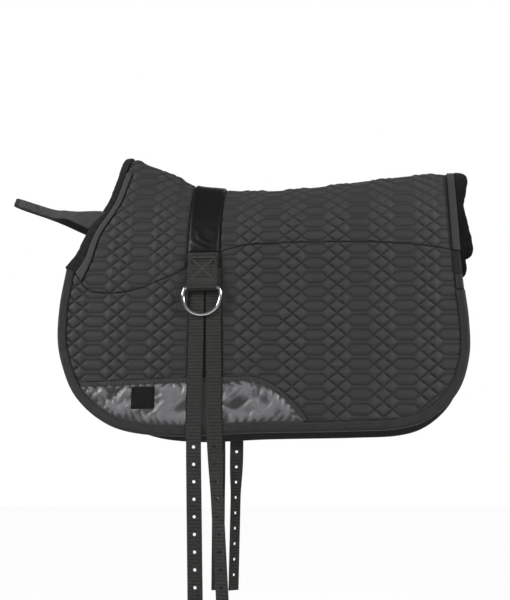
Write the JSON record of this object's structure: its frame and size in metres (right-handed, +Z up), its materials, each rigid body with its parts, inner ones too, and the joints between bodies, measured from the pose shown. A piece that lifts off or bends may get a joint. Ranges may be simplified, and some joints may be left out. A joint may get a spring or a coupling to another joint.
{
  "type": "bareback pad",
  "caption": "Quilted bareback riding pad with hanging flaps, webbing strap with a dee ring on each side, punched billets and a grab handle.",
  "frame": {"origin": "on the underside of the spine at its lowest place, where the pad rests on the horse's back", "axes": "+X to the rear of the horse along its back, -Y to its near (left) side, +Z up"},
  "size_m": [0.8225, 0.3245, 0.7856],
  "materials": {
    "cover": "quilted charcoal cotton twill",
    "foam": "soft open cell foam",
    "wadding": "loose polyester wadding",
    "fleece": "deep pile black fleece",
    "tape": "flat woven grey tape",
    "binding": "folded black braid",
    "strap": "smooth dark webbing",
    "webbing": "ribbed dark grey webbing",
    "satin": "slippery grey satin, slightly puckered",
    "label": "bare woven patch",
    "chrome": "polished plated wire"
  },
  "bodies": {
    "seat": {"seat_cover": "cover", "seat_foam": "foam", "seat_lining": "fleece", "crossing_strap": "strap", "front_fleece_roll": "fleece", "rear_fleece_roll": "fleece", "near_front_tape": "tape", "far_front_tape": "tape", "rear_tape": "tape", "near_handle_root": "webbing", "far_handle_root": "webbing"},
    "grab_handle": {"grab_handle": "webbing"},
    "near_flap": {"near_flap_cover": "cover", "near_flap_wadding": "wadding", "near_flap_lining": "fleece", "near_edge_binding": "binding", "near_wear_patch": "satin", "near_patch_trim": "tape", "near_ring_tab": "webbing", "near_front_billet_top": "webbing", "near_rear_billet_top": "webbing", "near_corner_tape": "tape", "near_bar_tack": "label", "near_label_patch": "label"},
    "near_ring": {"near_dee_ring": "chrome"},
    "near_front_billet": {"near_front_billet": "webbing"},
    "near_rear_billet": {"near_rear_billet": "webbing"},
    "far_flap": {"far_flap_cover": "cover", "far_flap_wadding": "wadding", "far_flap_lining": "fleece", "far_edge_binding": "binding", "far_wear_patch": "satin", "far_patch_trim": "tape", "far_ring_tab": "webbing", "far_front_billet_top": "webbing", "far_rear_billet_top": "webbing", "far_corner_tape": "tape", "far_bar_tack": "label"},
    "far_ring": {"far_dee_ring": "chrome"},
    "far_front_billet": {"far_front_billet": "webbing"},
    "far_rear_billet": {"far_rear_billet": "webbing"}
  },
  "joints": [
    {"name": "near_flap_lift", "type": "hinge", "parent": "seat", "child": "near_flap", "pos_m": [0, -0.11594, -0.09667], "axis": [-1, 0, 0], "range_deg": [0, 75]},
    {"name": "near_ring_swing", "type": "hinge", "parent": "near_flap", "child": "near_ring", "pos_m": [-0.0855, -0.1214, -0.17494], "axis": [-1, 0, 0], "range_deg": [0, 165]},
    {"name": "near_front_billet_swing", "type": "hinge", "parent": "near_flap", "child": "near_front_billet", "pos_m": [-0.09388, -0.13828, -0.32645], "axis": [-1, 0, 0], "range_deg": [0, 90]},
    {"name": "near_rear_billet_swing", "type": "hinge", "parent": "near_flap", "child": "near_rear_billet", "pos_m": [-0.06222, -0.13828, -0.32645], "axis": [-1, 0, 0], "range_deg": [0, 90]},
    {"name": "far_flap_lift", "type": "hinge", "parent": "seat", "child": "far_flap", "pos_m": [0, 0.11594, -0.09667], "axis": [1, 0, 0], "range_deg": [0, 75]},
    {"name": "far_ring_swing", "type": "hinge", "parent": "far_flap", "child": "far_ring", "pos_m": [-0.0855, 0.1214, -0.17494], "axis": [1, 0, 0], "range_deg": [0, 165]},
    {"name": "far_front_billet_swing", "type": "hinge", "parent": "far_flap", "child": "far_front_billet", "pos_m": [-0.09388, 0.13828, -0.32645], "axis": [1, 0, 0], "range_deg": [0, 90]},
    {"name": "far_rear_billet_swing", "type": "hinge", "parent": "far_flap", "child": "far_rear_billet", "pos_m": [-0.06222, 0.13828, -0.32645], "axis": [1, 0, 0], "range_deg": [0, 90]},
    {"name": "grab_handle_flex", "type": "hinge", "parent": "seat", "child": "grab_handle", "pos_m": [-0.318, 0, -0.039], "axis": [0, 1, 0], "range_deg": [-25, 35], "stiffness_Nm_per_rad": 0.35}
  ]
}
